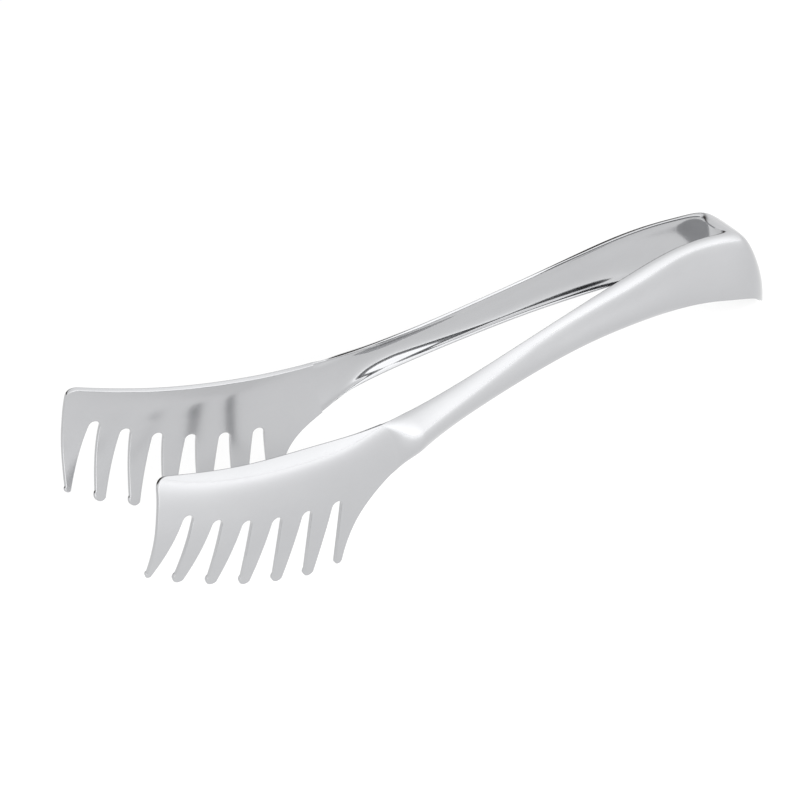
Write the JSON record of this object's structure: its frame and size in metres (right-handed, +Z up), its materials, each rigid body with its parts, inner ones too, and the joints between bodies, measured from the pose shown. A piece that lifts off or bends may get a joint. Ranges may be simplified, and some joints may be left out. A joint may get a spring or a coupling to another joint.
{
  "type": "spaghetti tongs",
  "caption": "Sprung pasta serving tongs of polished steel: slotted comb heads on channel-section handles that turn round in a U-shaped bow.",
  "frame": {"origin": "on the table under the middle of the length, midway between the two arms", "axes": "+X along the length towards the bow, +Z up, y < 0 is the near arm and y > 0 the far arm"},
  "size_m": [0.2522, 0.0642, 0.0723],
  "materials": {
    "bow_steel": "mirror polished",
    "near_handle_steel": "mirror polished",
    "near_comb_steel": "mirror polished",
    "far_handle_steel": "mirror polished",
    "far_comb_steel": "mirror polished"
  },
  "bodies": {
    "bow": {"bow": "bow_steel"},
    "near_arm": {"near_handle": "near_handle_steel", "near_comb": "near_comb_steel"},
    "far_arm": {"far_handle": "far_handle_steel", "far_comb": "far_comb_steel"}
  },
  "joints": [
    {"name": "near_squeeze", "type": "hinge", "parent": "bow", "child": "near_arm", "pos_m": [0.117, 0, 0.025], "axis": [0, 0, -1], "range_deg": [0, 5.5], "stiffness_Nm_per_rad": 4},
    {"name": "far_squeeze", "type": "hinge", "parent": "bow", "child": "far_arm", "pos_m": [0.117, 0, 0.025], "axis": [0, 0, 1], "range_deg": [0, 5.5], "stiffness_Nm_per_rad": 4}
  ],
  "couplings": [
    {"joint": "far_squeeze", "follows": "near_squeeze", "ratio": 1}
  ]
}
